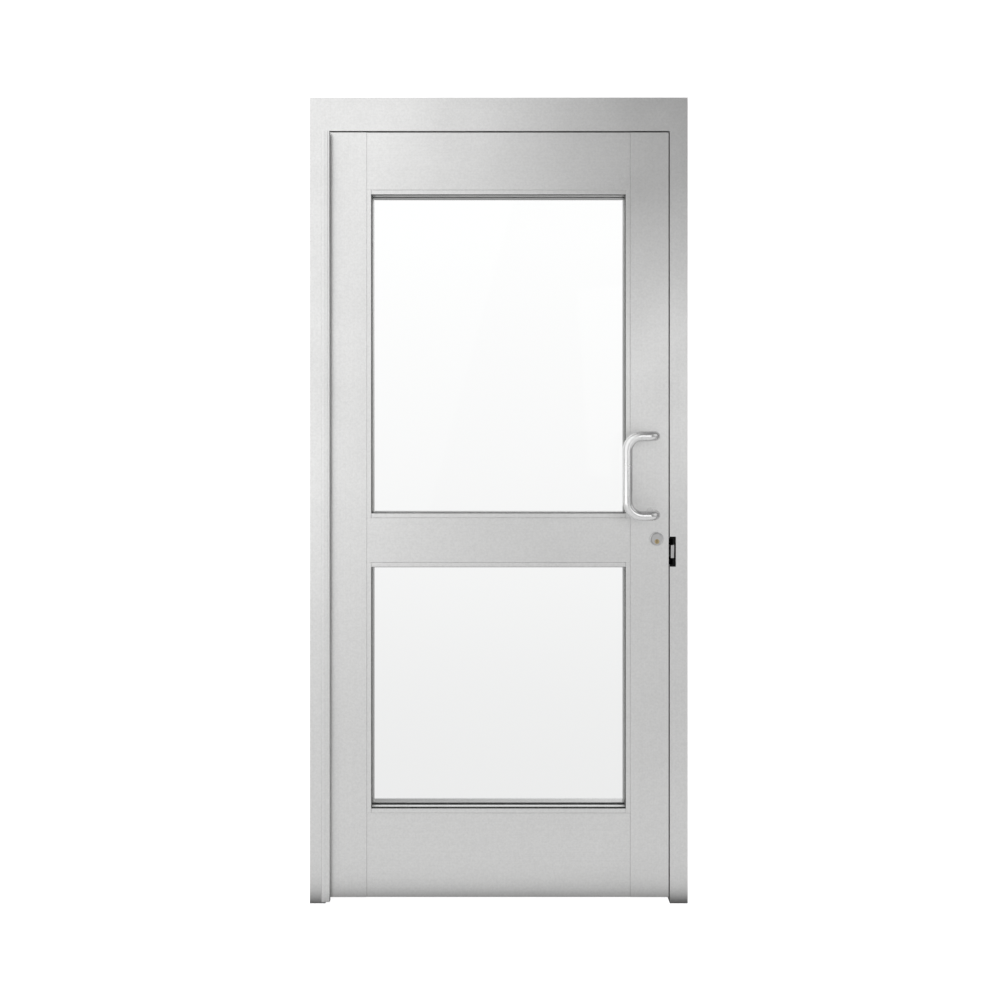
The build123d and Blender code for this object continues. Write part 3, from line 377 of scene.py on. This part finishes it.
def dressed(node, body, material, edge_break=EDGE_BREAK, hairline=0.0, across=(0,)):
    """A CAD node with its corners just broken, and a hairline left where it meets the next."""
    copy = flat_faced_copy(node)
    if hairline:
        for axis in across:
            for end, step in zip(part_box(node), (hairline, -hairline)):
                drawn_in = Vector((0, 0, 0))
                drawn_in[axis] = step
                meeting = [v for v in copy.verts if abs(v.co[axis] - end[axis]) < ON_PLANE]
                bmesh.ops.translate(copy, verts=meeting, vec=drawn_in)
    bmesh.ops.bevel(
        copy,
        geom=[e for e in copy.edges if e.is_manifold and e.calc_face_angle(0) > SHARP_ANGLE],
        offset=edge_break,
        segments=2,
        profile=0.5,
        affect="EDGES",
        material=-1,
        clamp_overlap=True,
    )
    stand_in(copy, node, body, material)


upright_aluminium = anodised("upright_aluminium", ALUMINIUM, SATIN, along="Z")
level_aluminium = anodised("level_aluminium", ALUMINIUM, SATIN, along="X")
for node in ("hinge_jamb", "strike_jamb"):
    dressed(node, "frame", upright_aluminium)
for node in ("header", "header_filler"):
    dressed(node, "frame", level_aluminium, edge_break=HEADER_EDGE_BREAK)

# Header clips
# Short mill-finish aluminium channels inside the header's ends, screwed to the jambs with
# zinc-plated pan heads. None of them shows once the frame stands.
def plated(name, colour, roughness, mottle=0.06):
    """Plain or plated metal: even colour with a faint mottle and fine scratches."""
    material, nodes, links, output = node_material(name)
    place = nodes.new("ShaderNodeTexCoord").outputs["Object"]
    scratches = add_noise(nodes, links, place, scale=160.0, detail=4.0)
    shader = nodes.new("ShaderNodeBsdfPrincipled")
    shader.inputs["Metallic"].default_value = 1.0
    vary_colour(nodes, links, shader, scratches, colour, mottle)
    duller = add_ramp(nodes, links, scratches, (0.0, roughness - 0.06), (1.0, roughness + 0.06))
    links.new(duller, shader.inputs["Roughness"])
    add_relief(nodes, links, shader, scratches, 0.08, FINE_RELIEF)
    links.new(shader.outputs[0], output.inputs["Surface"])
    return material


mill_aluminium = plated("mill_aluminium", (0.66, 0.66, 0.66), roughness=0.45)
zinc_steel = plated("zinc_steel", (0.56, 0.57, 0.59), roughness=0.35)
finish_node("header_clips", mill_aluminium)
finish_node("header_clip_screws", zinc_steel)
finish_node("header_screws", zinc_steel)

# Stops and seals
# Clip-in aluminium stops behind the leaf, each with a black bulb seal pressed into a groove
# in its face. The leaf closes against the seals.
RUBBER_SKIN = 0.0002


def rubber(name, colour):
    """Matt rubber with a fine skin."""
    material, nodes, links, output = node_material(name)
    place = nodes.new("ShaderNodeTexCoord").outputs["Object"]
    skin = add_noise(nodes, links, place, scale=420.0, detail=3.0)
    shader = nodes.new("ShaderNodeBsdfPrincipled")
    shader.inputs["Roughness"].default_value = 0.7
    shader.inputs["Specular IOR Level"].default_value = 0.3
    vary_colour(nodes, links, shader, skin, colour, 0.25)
    add_relief(nodes, links, shader, skin, 0.3, RUBBER_SKIN)
    links.new(shader.outputs[0], output.inputs["Surface"])
    return material


black_rubber = rubber("black_rubber", (0.035, 0.035, 0.035))
for node in ("hinge_jamb_stop", "strike_jamb_stop"):
    dressed(node, "frame", upright_aluminium)
dressed("header_stop", "frame", level_aluminium)
for node in ("jamb_seals", "header_seal"):
    finish_node(node, black_rubber)

# Geared hinge
# Two toothed aluminium leaves roll on each other inside a wrapped cap as high as the door
# leaf. Screws fix them to the jamb and the stile, and plastic bearings carry the weight.
CAP_RADIUS = 0.007
CAP_SQUARENESS = 14
CAP_LINE_X = -0.4501
CAP_LINE_HALF_WIDTH = 0.0015
CAP_LINE_DEPTH = 0.0009
CAP_FRONT_WALL_Y = -0.0322


def plastic(name, colour, roughness, specular=0.5):
    """Moulded plastic with a very slight flow texture."""
    material, nodes, links, output = node_material(name)
    place = nodes.new("ShaderNodeTexCoord").outputs["Object"]
    flow = add_noise(nodes, links, place, scale=300.0)
    shader = nodes.new("ShaderNodeBsdfPrincipled")
    shader.inputs["Roughness"].default_value = roughness
    shader.inputs["Specular IOR Level"].default_value = specular
    vary_colour(nodes, links, shader, flow, colour, 0.08)
    add_relief(nodes, links, shader, flow, 0.1, FINE_RELIEF)
    links.new(shader.outputs[0], output.inputs["Surface"])
    return material


def square_shoulder(cap, side, edge_x, front_y):
    """Push one rounded front shoulder of the cap out towards its square corner."""
    for vert in cap.verts:
        out = side * (vert.co.x - edge_x) + CAP_RADIUS
        forward = front_y + CAP_RADIUS - vert.co.y
        on_shoulder = abs((out**2 + forward**2) ** 0.5 - CAP_RADIUS) < ON_PLANE
        if out > 0 and forward > 0 and on_shoulder:
            reach = (out**CAP_SQUARENESS + forward**CAP_SQUARENESS) ** (1 / CAP_SQUARENESS)
            grow = CAP_RADIUS / reach - 1
            vert.co.x += side * out * grow
            vert.co.y -= forward * grow


cap_low, cap_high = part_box("hinge_cap")
hinge_cap = flat_faced_copy("hinge_cap")
square_shoulder(hinge_cap, -1, cap_low.x, cap_low.y)
square_shoulder(hinge_cap, 1, cap_high.x, cap_low.y)
for x in (CAP_LINE_X - CAP_LINE_HALF_WIDTH, CAP_LINE_X, CAP_LINE_X + CAP_LINE_HALF_WIDTH):
    bmesh.ops.bisect_plane(
        hinge_cap,
        geom=[*hinge_cap.verts, *hinge_cap.edges, *hinge_cap.faces],
        plane_co=(x, 0, 0),
        plane_no=(1, 0, 0),
        dist=MERGE_REACH,
    )
line_bottom = [
    v
    for v in hinge_cap.verts
    if abs(v.co.x - CAP_LINE_X) < MERGE_REACH and v.co.y < CAP_FRONT_WALL_Y
]
bmesh.ops.translate(hinge_cap, verts=line_bottom, vec=(0, CAP_LINE_DEPTH, 0))
stand_in(hinge_cap, "hinge_cap", "cap", upright_aluminium)
for node in ("hinge_frame_leaf", "hinge_door_leaf"):
    finish_node(node, upright_aluminium)
for node in ("frame_leaf_screws", "door_leaf_screws"):
    finish_node(node, zinc_steel)
finish_node("hinge_bearings", plastic("bearing_plastic", (0.7, 0.7, 0.66), roughness=0.45))

# Leaf tubes
# Two stiles run full height and three rails butt between them, held by steel rods inside
# the rails. All are the same anodised aluminium as the frame.
HAIRLINE = 0.0003

for node in ("hinge_stile", "lock_stile"):
    dressed(node, "door", upright_aluminium)
for node in ("top_rail", "middle_rail", "bottom_rail"):
    dressed(node, "door", level_aluminium, hairline=HAIRLINE)
for node in ("tie_rods", "tie_rod_nuts"):
    finish_node(node, zinc_steel)

# Glazing
# Clear tempered glass on rubber blocks, held between gaskets by clip-in aluminium beads.
# The upright beads run through and the level ones butt between, and a thin black strip
# lines the front edge of the opening.
GLASS_TINT = (0.995, 1.0, 0.998, 1)
GLASS_RIPPLE = 0.001
BEAD_WIDTH = 0.012
LIP_THICKNESS = 0.0009
LIP_DEPTH = 0.0060
LIP_SETBACK = 0.0006


def clear_glass(name):
    """Clear glass that lets light through to the studio, with a faint ripple."""
    material, nodes, links, output = node_material(name)
    place = nodes.new("ShaderNodeTexCoord").outputs["Object"]
    ripple = add_noise(nodes, links, place, scale=2.0)
    glass = nodes.new("ShaderNodeBsdfPrincipled")
    glass.inputs["Base Color"].default_value = GLASS_TINT
    glass.inputs["Transmission Weight"].default_value = 1.0
    glass.inputs["Roughness"].default_value = 0.0
    glass.inputs["IOR"].default_value = 1.2
    add_relief(nodes, links, glass, ripple, 0.02, GLASS_RIPPLE)
    clear = nodes.new("ShaderNodeBsdfTransparent")
    shader = choose_by_ray(nodes, links, glass, ("Is Shadow Ray", clear))
    links.new(shader.outputs[0], output.inputs["Surface"])
    return material


def front_lip(name, beads):
    """A thin black strip round the front edge of the beads' noses."""
    low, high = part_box(beads)
    middle = (low + high) / 2
    opening = high - low - Vector((2 * BEAD_WIDTH, 0, 2 * BEAD_WIDTH))
    upright = Matrix.Rotation(radians(90), 3, "X")
    lip = bmesh.new()
    bmesh.ops.create_grid(lip, x_segments=1, y_segments=1, size=0.5)
    bmesh.ops.scale(lip, verts=lip.verts, vec=(opening.x, opening.z, 1))
    bmesh.ops.rotate(lip, verts=lip.verts, matrix=upright)
    bmesh.ops.translate(lip, verts=lip.verts, vec=(middle.x, face_y + LIP_SETBACK, middle.z))
    inside = lip.faces[:]
    bmesh.ops.inset_region(
        lip,
        faces=inside,
        thickness=LIP_THICKNESS,
        use_boundary=True,
        use_even_offset=True,
    )
    bmesh.ops.delete(lip, geom=inside, context="FACES_ONLY")
    grown = bmesh.ops.extrude_face_region(lip, geom=lip.faces[:], use_keep_orig=True)
    rear = [v for v in grown["geom"] if isinstance(v, bmesh.types.BMVert)]
    bmesh.ops.translate(lip, verts=rear, vec=(0, LIP_DEPTH, 0))
    bmesh.ops.recalc_face_normals(lip, faces=lip.faces)
    add_piece(name, lip, "door", black_rubber)


lite_glass = clear_glass("lite_glass")
grey_rubber = rubber("grey_rubber", (0.16, 0.16, 0.16))
for lite in ("upper", "lower"):
    finish_node(lite + "_glass", lite_glass)
    finish_node(lite + "_gaskets", grey_rubber)
    dressed(lite + "_side_beads", "door", upright_aluminium, hairline=HAIRLINE)
    dressed(lite + "_rail_beads", "door", level_aluminium, hairline=HAIRLINE, across=(0, 2))
    front_lip(lite + "_front_lip", lite + "_side_beads")
finish_node("setting_blocks", black_rubber)

# Door pull
# One bar, 25 mm thick, bent to a bow with its ends turned in to the stile and polished to a
# satin. Stainless bolts hold it through the lock stile from behind.
CREASE_ANGLE = radians(30)

pull = merged_copy("pull_handle")
for face in pull.faces:
    face.smooth = True
for edge in pull.edges:
    edge.smooth = edge.calc_face_angle(0) < CREASE_ANGLE
pull_metal = anodised(
    "pull_metal",
    (0.79, 0.79, 0.79),
    roughness=0.25,
    along="Z",
    grain=0.03,
    relief=0.08,
    metallic=0.9,
)
stand_in(pull, "pull_handle", "door", pull_metal)
stainless = plated("stainless", (0.60, 0.60, 0.60), roughness=0.30, mottle=0.03)
finish_node("pull_bolts", stainless)

# Lock
# A steel case in the lock stile behind a stainless faceplate that is screwed to its edge,
# with a latch, a keyed brass plug on the pull side and a thumb turn on the other.
COLLAR_BEVEL = 0.0012

plug_brass = plated("plug_brass", (0.52, 0.42, 0.25), roughness=0.3, mottle=0.08)
finish_node("lock_case", zinc_steel)
for node in (
    "lock_faceplate",
    "lock_faceplate_screws",
    "latch_bolt",
    "key_cylinder",
    "turn_cylinder",
    "thumb_turn",
):
    finish_node(node, stainless)
for node in ("cylinder_collar", "turn_collar"):
    dressed(node, "door", stainless, edge_break=COLLAR_BEVEL)
for node in ("key_plug", "key_cam", "turn_cam"):
    finish_node(node, plug_brass)

# Electric strike
# A black steel housing let into the corner of the strike jamb, with a stainless faceplate
# and a swinging stainless keeper on an upright pin.
KEEPER_ROUND = 0.0032
KEEPER_FACE_WIDTH = 0.006

keeper_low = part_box("strike_keeper")[0]
corner_x = keeper_low.x + KEEPER_FACE_WIDTH
keeper = flat_faced_copy("strike_keeper")
at_corner = [
    v
    for v in keeper.verts
    if v.co.y < keeper_low.y + ON_PLANE and abs(v.co.x - corner_x) < ON_PLANE
]
bmesh.ops.bevel(
    keeper,
    geom=[e for e in keeper.edges if all(v in at_corner for v in e.verts)],
    offset=KEEPER_ROUND,
    segments=4,
    profile=0.5,
    affect="EDGES",
    material=-1,
    clamp_overlap=True,
)
stand_in(keeper, "strike_keeper", "keeper", stainless)
black_housing = plastic("black_housing", (0.006, 0.006, 0.006), roughness=0.7, specular=0.15)
finish_node("strike_housing", black_housing)
for node in ("strike_faceplate", "strike_screws", "keeper_pin"):
    finish_node(node, stainless)
